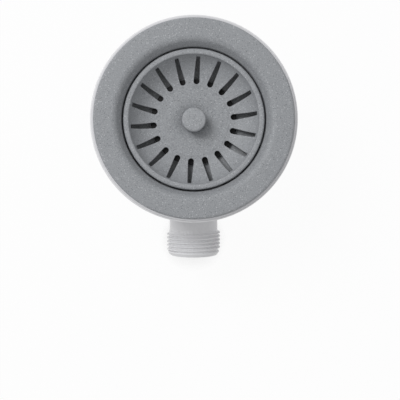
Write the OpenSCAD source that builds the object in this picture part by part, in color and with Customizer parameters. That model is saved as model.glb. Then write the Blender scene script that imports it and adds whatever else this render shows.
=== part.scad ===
// Basket strainer waste for a kitchen sink, with a side port for the overflow pipe.
// A coated flange and bowl drop through the sink's hole, a moulded plastic body comes up
// from below, and one hollow screw draws the two together. A lift-out basket with a
// rubber stopper plugs into the head of that screw.
// The origin is on the drain's axis at the outlet's open end, +Z runs up to the sink and
// the overflow port points to -Y. Sizes are in millimetres.

/* [Flange and bowl] */
// Outer diameter of the flange that shows on the sink
flange_d = 114; // [106:0.5:116]
// Thickness of the coated sheet
sheet_t = 1.2; // [0.8:0.1:1.6]
// Height of the flange's turned-down edge
edge_drop = 2; // [1.8:0.1:2.4]
// Radius of the rounded lip between the flat ring and the bowl
lip_r = 4.3; // [3:0.1:5.5]
// Inner diameter of the bowl below the lip
bowl_d = 83; // [80:0.5:84]
// Lean of the entrance wall, measured from the drain's axis
entry_lean = 25; // [15:1:30]
// Depth of the entrance wall below the flange
entry_depth = 6.5; // [5:0.1:8]
// Depth of the bowl from the flange to the stopper's seat
bowl_depth = 24.3; // [22:0.1:30]
// Slope of the bowl's floor in degrees
floor_slope = 14; // [8:1:20]
// Radius between the bowl's wall and its floor
floor_fillet = 7; // [4:0.5:9]
// Width of the flat seat round the drain hole
seat_w = 3.5; // [2.5:0.1:4]
// Diameter of the drain hole inside the seat
drain_d = 45; // [42:0.5:46]
// Depth of the cross's hub below the seat
hub_drop = 10; // [8:0.5:12]
// Diameter of the flat hub that takes the screw
hub_d = 21; // [20:0.5:24]
// Number of arms in the drain's cross
arm_count = 4; // [3:1:6]
// Width of one arm
arm_w = 6; // [4:0.5:8]

/* [Seals] */
// Outer diameter of the seal under the flange
flange_seal_d = 116.1; // [114.5:0.1:117]
// Thickness of the seal under the flange
flange_seal_t = 1.8; // [1.5:0.1:2.8]
// Thickness of the seal in the body's rim
body_seal_t = 2.5; // [2.3:0.1:4]

/* [Waste body] */
// Height of the body from the outlet's end to its rim
body_h = 91.7; // [88:0.1:110]
// Width of the rim outside the bell
rim_overhang = 9; // [8.5:0.1:12]
// Thickness of the rim
rim_t = 5; // [4.5:0.1:7]
// Depth of the seal's groove in the rim
groove_depth = 2.2; // [1.5:0.1:2.3]
// Width of the lips each side of the groove
groove_lip = 1.3; // [1:0.1:1.6]
// Room between the bowl and the bell's wall
bell_room = 5.7; // [5:0.1:8]
// Draft of the bell's wall, which also tilts the overflow port
draft = 5; // [2:0.5:6]
// Wall of the bell and the outlet's floor
wall = 2.8; // [2.2:0.1:3.4]
// Radius of the bell's lower shoulder
shoulder_r = 10; // [7:0.5:14]
// Slope of the bell's floor towards the outlet
sump_slope = 16; // [10:1:20]
// Number of gussets under the rim
gusset_count = 12; // [6:2:24]
// Height of one gusset
gusset_h = 16; // [10:1:20]
// Thickness of one gusset
gusset_t = 2; // [1.5:0.1:3]
// Number of ribs that carry the screw's hub
rib_count = 4; // [4:2:6]
// Thickness of one rib
rib_t = 2.6; // [2:0.1:4]
// Height of one rib
rib_h = 12; // [8:0.5:14]
// Outer diameter of the hub that holds the insert
boss_d = 17; // [15:0.5:20]
// Height of that hub
boss_h = 18; // [16:0.5:22]

/* [Outlet] */
// Outer diameter of the outlet's thread, G 1 1/2
outlet_thread_d = 47.8; // [47.8:0.1:47.8]
// Bore of the outlet
outlet_bore_d = 39; // [36:0.5:40]
// Length of the outlet below the bell's floor
outlet_len = 20; // [18:0.5:24]
// Threads on the outlet
outlet_turns = 6; // [4:1:6]

/* [Overflow port] */
// Outer diameter of the overflow port's thread, G 1
port_thread_d = 33.25; // [33.25:0.05:33.25]
// Outer diameter of the port's plain neck
port_neck_d = 29.8; // [28:0.1:30]
// Bore of the overflow port
port_bore_d = 24.6; // [22:0.1:25]
// Length of the port from the bell's wall
port_len = 34; // [32:0.5:40]
// Distance of the port's axis below the rim, at the bell's wall
port_drop = 47.4; // [44:0.1:50]
// Threads on the overflow port
port_turns = 5; // [4:1:6]
// Distance from the port's end to the middle of its last thread
port_lead = 4.2; // [3:0.1:5]
// Pitch of both pipe threads, 11 to the inch
pipe_pitch = 2.309; // [2.309:0.001:2.309]
// Depth of both pipe threads
pipe_thread_depth = 1.479; // [1.479:0.001:1.479]

/* [Fixing screw] */
// Diameter of the screw's shank
screw_d = 10; // [9:0.5:11]
// Diameter of the screw's head
screw_head_d = 18; // [16:0.5:19]
// Height of the screw's head
screw_head_h = 4.5; // [4:0.1:5]
// Width of the slot across the head
slot_w = 2.4; // [1.6:0.1:3]
// Depth of the slot across the head
slot_depth = 1.8; // [1:0.1:2.5]
// Depth of the blind socket that takes the basket's stem
socket_depth = 15; // [14:0.5:18]
// Thickness of the washer under the head
screw_washer_t = 1; // [0.8:0.1:1.5]
// Length of the brass insert in the body's hub
insert_len = 13; // [10:0.5:15]
// Outer diameter of the brass insert
insert_d = 13; // [12:0.1:13.5]

/* [Basket] */
// Diameter of the basket's flat floor, inside the ring of slots
basket_floor_d = 44.2; // [40:0.2:48]
// Depth of the basket from its rim to its floor
basket_depth = 13; // [11:0.1:15]
// Wall of the basket
basket_t = 1.8; // [1.4:0.1:2.2]
// Width of the basket's rim
basket_rim_w = 3.2; // [2.4:0.1:4]
// Height of the basket's rim
basket_rim_h = 3.2; // [2.4:0.1:4.5]
// Height of the rim's upright inner face
rim_face_h = 1.8; // [1:0.1:2.2]
// Running gap between the basket's rim and the bowl
rim_gap = 1.1; // [0.6:0.1:2]
// Number of slots
slot_count = 18; // [12:1:20]
// Turn of the first slot from +X in degrees
slot_start = 6; // [0:1:19]
// Width of a slot at its inner, rounded end
slot_in_w = 3.34; // [2.6:0.02:3.6]
// Width of a slot at its outer end
slot_out_w = 2.2; // [1.6:0.1:2.4]
// Distance of a slot's outer end from the basket's rim edge
slot_margin = 4.1; // [3.8:0.1:6]
// Height of the boss under the floor that the stopper sits against
basket_boss_h = 1.4; // [1:0.1:2.5]
// Diameter of that boss
basket_boss_d = 20; // [14:0.5:26]

/* [Knob, stem and stopper] */
// Diameter of the knob's head
knob_d = 13.9; // [12:0.1:16]
// Height of the knob above the basket's floor
knob_h = 10.8; // [9:0.1:14]
// Diameter of the knob's waist
knob_waist_d = 11.4; // [10.4:0.1:11.8]
// Diameter of the stem
stem_d = 6; // [5.4:0.1:6.4]
// Length of stem inside the screw's socket
stem_in_socket = 12; // [9:0.5:12.5]
// Section of the rubber ring on the stem
ring_d = 1.2; // [0.8:0.1:1.4]
// Diameter of the rubber stopper
stopper_d = 50.6; // [50:0.1:51.5]
// Thickness of the rubber stopper
stopper_t = 2.3; // [1.8:0.1:3.5]
// Clearance of the resting stopper above its seat
seat_gap = 0.3; // [0.2:0.1:0.5]
// Diameter of the washer that backs the stopper
stopper_washer_d = 26; // [20:0.5:30]
// Thickness of that washer
stopper_washer_t = 1; // [0.8:0.1:1.4]
// Height of the stem's nut
nut_h = 2.8; // [2.2:0.1:3]
// Width of the nut across its flats
nut_af = 10; // [9:0.5:12]

/* [Hidden] */
$fn = 96;

STONE = "#96989b";
WHITE = "#eceded";
BLACK = "#1d1d1f";
STEEL = "#b9bcc0";
BRASS = "#c6a15a";

// Small clearances and roundings that several pieces share
fit_gap = 0.1;
edge_bend = 0.15;
small_r = 0.5;
cut_past = 1;

flange_r = flange_d / 2;
bowl_r = bowl_d / 2;
drain_r = drain_d / 2;
seat_r = drain_r + seat_w;
hub_r = hub_d / 2;
bell_r = bowl_r + bell_room + wall;
rim_r = bell_r + rim_overhang;
stem_r = stem_d / 2;
screw_r = screw_d / 2;
screw_hole_r = screw_r + 3 * fit_gap;
socket_r = stem_r + fit_gap;

// Heights, stacked from the body's rim up to the flange and back down into the bowl
body_seal_top = body_h - groove_depth + body_seal_t;
flange_seal_top = body_seal_top + flange_seal_t;
top_z = flange_seal_top + sheet_t;
seat_z = top_z - bowl_depth;
hub_z = seat_z - hub_drop;
head_z = hub_z + screw_washer_t;
head_top = head_z + screw_head_h;

// The body's hub waits this far under the bowl's hub, for the sink's thickness
hub_gap = 3;
boss_top = hub_z - sheet_t - hub_gap;

// Heights in the basket, stacked up from the seat
stopper_z = seat_z + seat_gap;
stopper_top = stopper_z + stopper_t;
basket_floor_z = stopper_top + basket_boss_h + basket_t;
basket_rim_z = basket_floor_z + basket_depth;
knob_top = basket_floor_z + knob_h;
nut_z = stopper_z - stopper_washer_t - nut_h;
stem_bottom = head_top - stem_in_socket;
basket_r = bowl_r - rim_gap;

// Corner where the bowl's entrance wall would meet the flat ring
lip_corner_r = bowl_r + entry_depth * tan(entry_lean);
land_r = lip_corner_r + lip_r * tan((90 - entry_lean) / 2);
seal_in_r = land_r + fit_gap;

function unit(v) = v / norm(v);
function left_of(p, q) = let (d = unit(q - p)) [-d[1], d[0]];
function reversed(p) = [for (i = [len(p) - 1:-1:0]) p[i]];
function flat(p) = [p[0], p[1]];

// Points of an arc of radius r that rounds the corner b between a and c
function corner_arc(a, b, c, r, steps) =
    let (u = unit(a - b), v = unit(c - b),
         half = acos(u * v) / 2,
         centre = b + unit(u + v) * r / sin(half),
         from = b + u * r / tan(half) - centre,
         to = b + v * r / tan(half) - centre,
         start = atan2(from[1], from[0]),
         turn = atan2(from[0] * to[1] - from[1] * to[0], from * to))
    [for (k = [0:steps]) centre + r * [cos(start + turn * k / steps),
                                       sin(start + turn * k / steps)]];

// A path from corners [radius from the axis, height, rounding]
function rounded(p, steps = 8) =
    [for (i = [0:len(p) - 1])
        each (i == 0 || i == len(p) - 1 || p[i][2] == 0)
            ? [flat(p[i])]
            : corner_arc(flat(p[i - 1]), flat(p[i]), flat(p[i + 1]), p[i][2], steps)];

// The same path moved sideways by t, to its left
function beside(p, t) =
    [for (i = [0:len(p) - 1])
        let (a = left_of(p[max(i - 1, 0)], p[max(i, 1)]),
             b = left_of(p[min(i, len(p) - 2)], p[min(i + 1, len(p) - 1)]))
        p[i] + t * (a + b) / (1 + a * b)];

// A wall of even thickness t on the left of a path
module wall_profile(path, t) {
    polygon(concat(path, reversed(beside(path, t))));
}

// A flat ring with lightly rounded outer corners
module ring(inner_r, outer_r, z, t, round_r) {
    rotate_extrude()
        polygon(rounded([[inner_r, z, 0], [outer_r, z, round_r],
                         [outer_r, z + t, round_r], [inner_r, z + t, 0]], 4));
}

// Outline points of pipe threads: ridges of the given pitch between root and crest
crest_share = 0.17;
root_share = 0.17;
function ridge(z, root, crest) =
    let (c = crest_share * pipe_pitch / 2, b = pipe_pitch * (1 - root_share) / 2)
    [[root, z - b], [crest, z - c], [crest, z + c], [root, z + b]];

// Bell radius, outside, at a height z on the drafted wall
function bell_at(z) = bell_r - (body_h - rim_t - z) * tan(draft);

// Strainer flange: flat ring, rounded lip, bowl, stopper's seat and sunken hub in one sheet
bowl_floor_r = bowl_r - cut_past;
bowl_path = rounded([
    [flange_r, top_z - edge_drop, 0],
    [flange_r, top_z, sheet_t + edge_bend],
    [lip_corner_r, top_z, lip_r],
    [bowl_r, top_z - entry_depth, sheet_t + 1],
    [bowl_floor_r, seat_z + (bowl_floor_r - seat_r) * tan(floor_slope), floor_fillet],
    [seat_r, seat_z, sheet_t],
    [drain_r, seat_z, sheet_t + 0.6],
    [hub_r, hub_z, sheet_t],
    [screw_hole_r, hub_z, 0]]);
window_edge = 1.4;

module strainer_flange() {
    color(STONE)
    difference() {
        rotate_extrude()
            wall_profile(bowl_path, sheet_t);
        drain_windows();
    }
}

// The openings between the arms of the cross
module drain_windows() {
    translate([0, 0, hub_z - 2 * sheet_t])
    linear_extrude(hub_drop + 4 * sheet_t)
    difference() {
        circle(drain_r - window_edge);
        circle(hub_r + window_edge);
        for (i = [0:arm_count - 1])
            rotate(360 / arm_count * (i + 0.5))
            translate([0, -arm_w / 2])
            square([drain_r, arm_w]);
    }
}

// Flange seal: a flat ring with a thinner outer lip that passes under the flange's edge
module flange_seal() {
    seal_r = flange_seal_d / 2;
    lip_z = top_z - edge_drop;
    step_r = flange_r - sheet_t - edge_bend;
    color(WHITE)
    rotate_extrude()
        polygon(rounded([[seal_in_r, body_seal_top, 0],
                         [seal_r, body_seal_top, small_r / 2],
                         [seal_r, lip_z, small_r],
                         [step_r, lip_z, 0],
                         [step_r, flange_seal_top, 0],
                         [seal_in_r, flange_seal_top, 0]], 4));
}

groove_in = bell_r - wall + groove_lip;
groove_out = rim_r - groove_lip;

module body_seal() {
    color(WHITE)
    ring(groove_in + fit_gap, groove_out - fit_gap, body_h - groove_depth, body_seal_t, small_r / 2);
}

// Waste body: one moulding of rim, bell, outlet, overflow port, hub, ribs and gussets
outlet_r = outlet_thread_d / 2;
outlet_root_r = outlet_r - pipe_thread_depth;
outlet_bore_r = outlet_bore_d / 2;
port_r = port_thread_d / 2;
port_root_r = port_r - pipe_thread_depth;
port_z = body_h - port_drop;
bell_floor_z = outlet_len + (bell_at(outlet_len) - outlet_root_r) * tan(sump_slope);

bell_path = rounded([
    [bell_at(body_h - rim_t), body_h - rim_t, 0],
    [bell_at(bell_floor_z), bell_floor_z, shoulder_r],
    [outlet_root_r, outlet_len, 2],
    [outlet_root_r, outlet_len - 3, 0]]);

module rim_profile() {
    difference() {
        translate([bell_r - wall, body_h - rim_t])
            square([rim_r - bell_r + wall, rim_t]);
        translate([groove_in, body_h - groove_depth])
            square([groove_out - groove_in, groove_depth + cut_past]);
    }
}

// The outlet's last ridge stands this far above its open end
outlet_lead = 3.6;

module outlet_profile() {
    polygon(concat(
        [[outlet_bore_r, 0], [outlet_root_r - 0.4, 0], [outlet_root_r, 1]],
        [for (i = [0:outlet_turns - 1])
            each ridge(outlet_lead + i * pipe_pitch, outlet_root_r, outlet_r)],
        [[outlet_root_r, outlet_len], [outlet_bore_r, outlet_len]]));
}

// The port is drawn upright, with its foot sunk into the bell's wall
port_foot = 6;
collar_r = port_neck_d / 2 + 3;
last_ridge = port_len - port_lead;
first_ridge = last_ridge - (port_turns - 1) * pipe_pitch;

module port_profile() {
    polygon(concat(
        rounded([[0, -port_foot, 0], [collar_r, -port_foot, 0], [collar_r, 1.5, 0.8],
                 [port_neck_d / 2, 1.5, 2.5], [port_neck_d / 2, first_ridge - pipe_pitch, 0.4],
                 [port_root_r, first_ridge - pipe_pitch * 0.7, 0]], 6),
        [for (i = [0:port_turns - 1])
            each ridge(first_ridge + i * pipe_pitch, port_root_r, port_r)],
        [[port_root_r, last_ridge + pipe_pitch * 0.6],
         [port_r - 0.7, last_ridge + pipe_pitch * 0.75],
         [port_r - 0.7, last_ridge + pipe_pitch], [port_root_r - 0.3, port_len],
         [0, port_len]]));
}

module at_port() {
    translate([0, -bell_at(port_z), port_z])
    rotate([90 + draft, 0, 0])
    children();
}

rib_z = boss_top - 3 - rib_h;

module rib() {
    rotate([90, 0, 0])
    linear_extrude(rib_t, center = true)
    polygon([[boss_d / 4, rib_z], [bell_at(rib_z) - wall / 2, rib_z],
             [bell_at(rib_z + rib_h) - wall / 2, rib_z + rib_h], [boss_d / 4, rib_z + rib_h]]);
}

module gusset() {
    under = body_h - rim_t;
    rotate([90, 0, 0])
    linear_extrude(gusset_t, center = true)
    polygon([[bell_at(under) - wall / 2, under + 0.5], [rim_r - 2, under + 0.5],
             [rim_r - 2, under - 1.5], [bell_at(under - gusset_h), under - gusset_h],
             [bell_at(under - gusset_h) - wall / 2, under - gusset_h]]);
}

module bell_inside() {
    inner = beside(bell_path, -wall);
    rotate_extrude()
        polygon(concat([[0, body_h], [inner[0][0], body_h]], inner,
                       [[0, outlet_len - 3 + wall]]));
}

module waste_body() {
    color(WHITE)
    difference() {
        union() {
            rotate_extrude() {
                rim_profile();
                wall_profile(bell_path, -wall);
                outlet_profile();
            }
            difference() {
                at_port() rotate_extrude() port_profile();
                bell_inside();
            }
            for (i = [0:gusset_count - 1])
                rotate(360 / gusset_count * (i + 0.5)) gusset();
            for (i = [0:rib_count - 1])
                rotate(360 / rib_count * (i + 0.5)) rib();
            translate([0, 0, boss_top - boss_h])
                cylinder(h = boss_h, d = boss_d);
        }
        at_port()
            translate([0, 0, -port_foot - wall])
            cylinder(h = port_len + port_foot + wall + cut_past, d = port_bore_d);
        translate([0, 0, boss_top - insert_len])
            cylinder(h = insert_len + cut_past, d = insert_d);
        translate([0, 0, boss_top - boss_h - cut_past])
            cylinder(h = boss_h + cut_past, r = screw_r + 0.5);
    }
}

// Brass insert, with a plain band between two knurled ones shown as a groove
module threaded_insert() {
    groove_w = 2;
    color(BRASS)
    difference() {
        translate([0, 0, boss_top - insert_len])
            cylinder(h = insert_len, d = insert_d);
        translate([0, 0, boss_top - insert_len - cut_past])
            cylinder(h = insert_len + 2 * cut_past, r = screw_r + fit_gap / 2);
        translate([0, 0, boss_top - (insert_len + groove_w) / 2])
        difference() {
            cylinder(h = groove_w, d = insert_d + 2);
            cylinder(h = groove_w, d = insert_d - 1.2);
        }
    }
}

// Fixing screw: a wide slotted head with a blind socket for the basket's stem
module fixing_screw() {
    tip_z = boss_top - insert_len - 1;
    color(STEEL)
    difference() {
        union() {
            rotate_extrude()
                polygon(rounded([[0, head_z, 0], [screw_head_d / 2, head_z, 0],
                                 [screw_head_d / 2, head_top, 1], [0, head_top, 0]], 5));
            rotate_extrude()
                polygon([[0, tip_z], [screw_r - 1, tip_z], [screw_r, tip_z + 1],
                         [screw_r, head_z], [0, head_z]]);
        }
        translate([0, 0, head_top - socket_depth])
            cylinder(h = socket_depth + cut_past, r = socket_r);
        translate([-screw_head_d, -slot_w / 2, head_top - slot_depth])
            cube([2 * screw_head_d, slot_w, slot_depth + cut_past]);
    }
}

module screw_washer() {
    color(WHITE)
    ring(screw_r + fit_gap, screw_head_d / 2 + 0.5, hub_z, screw_washer_t, screw_washer_t / 4);
}

// Basket: flat floor, wall that curves up to a solid rim, and a ring of tapered slots
rim_in_r = basket_r - basket_rim_w;
floor_r = basket_floor_d / 2;

// The wall is one arc from the floor's edge to the foot of the rim's upright inner face
rise = basket_depth - rim_face_h;
dish_lean = 2 * atan(rise / (rim_in_r - floor_r));
dish_r = (rim_in_r - floor_r) / sin(dish_lean);
dish_centre = [floor_r, basket_floor_z + dish_r];

module basket_profile() {
    hole_r = stem_r + fit_gap;
    past = 2 * dish_r;
    translate([hole_r, basket_floor_z - basket_t])
        square([floor_r - hole_r, basket_t]);
    intersection() {
        translate(dish_centre)
        difference() {
            circle(dish_r + basket_t);
            circle(dish_r);
        }
        polygon([dish_centre, dish_centre + [0, -past], dish_centre + [past, -past],
                 dish_centre + past * [sin(dish_lean), -cos(dish_lean)]]);
    }
    polygon(rounded([[rim_in_r, basket_floor_z + rise, 0],
                     [rim_in_r, basket_rim_z, 0.9],
                     [basket_r, basket_rim_z, 1.1],
                     [basket_r, basket_rim_z - basket_rim_h, 0.5],
                     [rim_in_r + basket_t / 2, basket_rim_z - basket_rim_h, 0]], 5));
}

// A slot seen from above: a round inner end, a taper, and a round outer end
slot_in_r = slot_in_w / 2;
slot_out_r = slot_out_w / 2;
slot_from = floor_r + slot_in_r - 0.25;
slot_to = basket_r - slot_margin - slot_out_r;

// The taper's sides stay this much inside the round ends, so that no faces are tangent
slot_seam = 0.02;

module slot() {
    in_side = slot_in_r - slot_seam;
    out_side = slot_out_r - slot_seam;
    translate([slot_from, 0]) circle(slot_in_r);
    translate([slot_to, 0]) circle(slot_out_r);
    polygon([[slot_from, -in_side], [slot_to, -out_side],
             [slot_to, out_side], [slot_from, in_side]]);
}

module strainer_basket() {
    color(STONE)
    difference() {
        union() {
            rotate_extrude() basket_profile();
            translate([0, 0, stopper_top])
                cylinder(h = basket_boss_h + basket_t / 2, d = basket_boss_d);
        }
        translate([0, 0, stopper_top - cut_past])
            cylinder(h = basket_boss_h + basket_t + 2 * cut_past, r = stem_r + fit_gap);
        for (i = [0:slot_count - 1])
            rotate(slot_start + 360 / slot_count * i)
            translate([0, 0, stopper_top])
            linear_extrude(basket_depth + 4 * basket_t)
            slot();
    }
}

// Knob: a short waisted grip with a rounded top, threaded on to the stem
stem_in_knob = knob_h - 3;
knob_head_h = 4;
knob_foot_h = 1.6;

module basket_knob() {
    knob_r = knob_d / 2;
    waist_r = knob_waist_d / 2;
    color(STONE)
    difference() {
        rotate_extrude()
            polygon(rounded([[0, basket_floor_z, 0],
                             [knob_r - 0.4, basket_floor_z, 0],
                             [knob_r - 0.4, basket_floor_z + knob_foot_h, 0.6],
                             [waist_r, basket_floor_z + knob_foot_h + 1, 0.8],
                             [waist_r, knob_top - knob_head_h - 1, 0.8],
                             [knob_r, knob_top - knob_head_h, 0.6],
                             [knob_r, knob_top, 0.9],
                             [0, knob_top, 0]], 5));
        translate([0, 0, basket_floor_z - cut_past])
            cylinder(h = stem_in_knob + cut_past, r = stem_r + fit_gap / 2);
    }
}

// Stem: a turned rod from the knob down into the screw's socket, grooved for its ring
ring_z = stem_bottom + 5;
ring_middle_r = stem_r + fit_gap / 2 - ring_d / 2;

module basket_stem() {
    tip = 1.2;
    groove_r = ring_middle_r - ring_d / 2;
    stem_top = basket_floor_z + stem_in_knob - small_r;
    color(STEEL)
    difference() {
        rotate_extrude()
            polygon([[0, stem_bottom], [stem_r - tip, stem_bottom], [stem_r, stem_bottom + tip],
                     [stem_r, stem_top - small_r], [stem_r - small_r, stem_top], [0, stem_top]]);
        translate([0, 0, ring_z - ring_d * 0.6])
        difference() {
            cylinder(h = ring_d * 1.2, r = stem_r + cut_past);
            cylinder(h = ring_d * 1.2, r = groove_r);
        }
    }
}

module stem_ring() {
    color(BLACK)
    translate([0, 0, ring_z])
    rotate_extrude()
        translate([ring_middle_r, 0]) circle(ring_d / 2);
}

// Stopper: a rubber disc with a bevelled sealing lip
module stopper_seal() {
    stopper_r = stopper_d / 2;
    lip_t = stopper_t * 0.45;
    color(BLACK)
    rotate_extrude()
        polygon(rounded([[stem_r + fit_gap, stopper_z, 0],
                         [stopper_r - 1.2, stopper_z, 0.6],
                         [stopper_r, stopper_top - lip_t, 0.2],
                         [stopper_r, stopper_top, 0.4],
                         [stem_r + fit_gap, stopper_top, 0]], 4));
}

module stopper_washer() {
    color(STEEL)
    ring(stem_r + fit_gap, stopper_washer_d / 2, stopper_z - stopper_washer_t,
         stopper_washer_t, stopper_washer_t / 4);
}

module stem_nut() {
    color(STEEL)
    translate([0, 0, nut_z])
    difference() {
        cylinder(h = nut_h, d = nut_af / cos(30), $fn = 6);
        translate([0, 0, -cut_past])
            cylinder(h = nut_h + 2 * cut_past, r = stem_r + fit_gap / 2);
    }
}

strainer_flange();
flange_seal();
body_seal();
waste_body();
threaded_insert();
fixing_screw();
screw_washer();
strainer_basket();
basket_knob();
basket_stem();
stem_ring();
stopper_seal();
stopper_washer();
stem_nut();
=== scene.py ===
"""Dressed model of a basket strainer waste for a kitchen sink.

A flange and bowl coated in speckled stone grey, a lift-out basket with its knob, and a
white moulded body with a threaded outlet and a threaded overflow port. Sizes are in
millimetres until a mesh is made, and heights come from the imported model.
"""
import math
import bmesh
import bpy
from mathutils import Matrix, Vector
from mathutils.geometry import delaunay_2d_cdt


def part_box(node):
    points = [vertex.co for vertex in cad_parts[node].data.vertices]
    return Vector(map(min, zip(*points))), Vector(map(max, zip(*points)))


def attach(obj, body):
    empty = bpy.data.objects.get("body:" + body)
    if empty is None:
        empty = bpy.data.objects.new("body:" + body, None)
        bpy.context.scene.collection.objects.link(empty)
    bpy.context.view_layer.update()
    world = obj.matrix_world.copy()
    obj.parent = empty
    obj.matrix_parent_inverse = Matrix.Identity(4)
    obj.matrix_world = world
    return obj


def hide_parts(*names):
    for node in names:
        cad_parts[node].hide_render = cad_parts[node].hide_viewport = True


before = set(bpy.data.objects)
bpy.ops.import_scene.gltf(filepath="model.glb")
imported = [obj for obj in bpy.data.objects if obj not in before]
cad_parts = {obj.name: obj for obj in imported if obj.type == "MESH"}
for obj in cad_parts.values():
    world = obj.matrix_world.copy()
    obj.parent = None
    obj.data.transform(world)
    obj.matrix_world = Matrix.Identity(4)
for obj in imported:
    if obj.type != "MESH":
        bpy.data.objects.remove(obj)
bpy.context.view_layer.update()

MM = 0.001


def node_box(node):
    """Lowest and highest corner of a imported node, in millimetres."""
    low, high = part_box(node)
    return low / MM, high / MM


# Outlines: a profile is a list of points (distance from the axis, height)

def corner_arc(a, b, c, radius, steps):
    """Points of an arc that rounds corner b between a and c."""
    u = (a - b).normalized()
    v = (c - b).normalized()
    half = math.acos(max(-1.0, min(1.0, u.dot(v)))) / 2
    centre = b + (u + v).normalized() * radius / math.sin(half)
    first = b + u * radius / math.tan(half) - centre
    last = b + v * radius / math.tan(half) - centre
    start = math.atan2(first.y, first.x)
    turn = math.atan2(first.x * last.y - first.y * last.x, first.dot(last))
    points = []
    for k in range(steps + 1):
        angle = start + turn * k / steps
        points.append(centre + radius * Vector((math.cos(angle), math.sin(angle))))
    return points


def rounded(corners, steps=6, closed=False):
    """A path from corners (distance from the axis, height, rounding)."""
    count = len(corners)
    path = []
    for i, (r, z, rounding) in enumerate(corners):
        at_end = not closed and i in (0, count - 1)
        if at_end or rounding == 0:
            path.append(Vector((r, z)))
            continue
        before = Vector(corners[i - 1][:2])
        after = Vector(corners[(i + 1) % count][:2])
        path.extend(corner_arc(before, Vector((r, z)), after, rounding, steps))
    return path


def beside(path, distance):
    """The same path moved sideways, to its left."""
    moved = []
    last = len(path) - 1
    for i, point in enumerate(path):
        before = (path[max(i, 1)] - path[max(i - 1, 0)]).normalized()
        after = (path[min(i + 1, last)] - path[min(i, last - 1)]).normalized()
        left_before = Vector((-before.y, before.x))
        left_after = Vector((-after.y, after.x))
        share = distance / (1 + left_before.dot(left_after))
        moved.append(point + share * (left_before + left_after))
    return moved


# Meshes: rings of points become closed surfaces

def ring_at(r, z, segments):
    """Points of one ring about the vertical axis."""
    points = []
    for k in range(segments):
        angle = 2 * math.pi * k / segments
        points.append(Vector((r * math.cos(angle), r * math.sin(angle), z)))
    return points


def add_rings(bm, rings, place=None, closed=True):
    """Joins rings of points into a surface; closed joins the last to the first."""
    made = []
    for ring in rings:
        points = [place(p) for p in ring] if place else ring
        if (ring[0] - ring[1]).length < 1e-9:
            made.append([bm.verts.new(points[0])] * len(ring))
        else:
            made.append([bm.verts.new(p) for p in points])
    pairs = list(zip(made, made[1:]))
    if closed:
        pairs.append((made[-1], made[0]))
    segments = len(rings[0])
    for low, high in pairs:
        for k in range(segments):
            n = (k + 1) % segments
            corners = []
            for vert in (low[k], low[n], high[n], high[k]):
                if vert not in corners:
                    corners.append(vert)
            if len(corners) > 2:
                bm.faces.new(corners)


def add_turned(bm, outline, segments=144, place=None):
    """Adds a closed outline turned about the axis."""
    rings = [ring_at(max(p[0], 0.0), p[1], segments) for p in outline]
    add_rings(bm, rings, place)


def finished(name, bm, material, sharp=34):
    """Makes the mesh in bm, in millimetres, an object in metres with smooth faces."""
    bmesh.ops.remove_doubles(bm, verts=bm.verts, dist=2e-4)
    bmesh.ops.dissolve_degenerate(bm, edges=bm.edges, dist=1e-5)
    bmesh.ops.recalc_face_normals(bm, faces=bm.faces)
    bmesh.ops.scale(bm, vec=(MM, MM, MM), verts=bm.verts)
    mesh = bpy.data.meshes.new(name)
    bm.to_mesh(mesh)
    bm.free()
    mesh.shade_smooth()
    mesh.set_sharp_from_angle(angle=math.radians(sharp))
    piece = bpy.data.objects.new(name, mesh)
    bpy.context.collection.objects.link(piece)
    if material:
        mesh.materials.append(material)
    return piece


def turned(name, outline, material, segments=144):
    """A piece turned from one closed outline."""
    bm = bmesh.new()
    add_turned(bm, outline, segments)
    return finished(name, bm, material)


def cut_away(piece, cutter_bm):
    """Cuts the closed shape in cutter_bm, in millimetres, out of the piece."""
    cutter = finished(piece.name + "_cutter", cutter_bm, None)
    cut = piece.modifiers.new("cut", "BOOLEAN")
    cut.operation = "DIFFERENCE"
    cut.solver = "EXACT"
    cut.object = cutter
    depsgraph = bpy.context.evaluated_depsgraph_get()
    made = bpy.data.meshes.new_from_object(piece.evaluated_get(depsgraph))
    piece.modifiers.clear()
    piece.data = made
    bpy.data.objects.remove(cutter)
    made.set_sharp_from_angle(angle=math.radians(34))


def add_prism(bm, plan, low, high, turn=0.0):
    """Adds an upright prism on a plan outline (x, y), turned about the axis."""
    c = math.cos(turn)
    s = math.sin(turn)
    floor = []
    roof = []
    for x, y in plan:
        floor.append(bm.verts.new((x * c - y * s, x * s + y * c, low)))
        roof.append(bm.verts.new((x * c - y * s, x * s + y * c, high)))
    bm.faces.new(floor[::-1])
    bm.faces.new(roof)
    for k in range(len(plan)):
        n = (k + 1) % len(plan)
        bm.faces.new((floor[k], floor[n], roof[n], roof[k]))


def add_fin(bm, outline, thickness, angle, edge=0.25):
    """Adds an upright fin with soft edges whose side outline is (radius, height)."""
    c = math.cos(angle)
    s = math.sin(angle)
    sides = []
    for side in (-thickness / 2, thickness / 2):
        verts = [bm.verts.new((r * c - side * s, r * s + side * c, z)) for r, z in outline]
        sides.append(verts)
    cheeks = [bm.faces.new(sides[0]), bm.faces.new(sides[1][::-1])]
    for k in range(len(outline)):
        n = (k + 1) % len(outline)
        bm.faces.new((sides[0][k], sides[1][k], sides[1][n], sides[0][n]))
    edges = set(cheeks[0].edges) | set(cheeks[1].edges)
    bmesh.ops.bevel(bm, geom=list(edges), offset=edge, segments=2, affect="EDGES")


# Height of a pipe thread across one pitch, from root to rounded crest and back
THREAD_FORM = ((-0.5, 0.0), (-0.43, 0.01), (-0.36, 0.09), (-0.2, 0.72), (-0.13, 0.92),
               (-0.05, 1.0), (0.05, 1.0), (0.13, 0.92), (0.2, 0.72), (0.36, 0.09), (0.43, 0.01))


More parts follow.
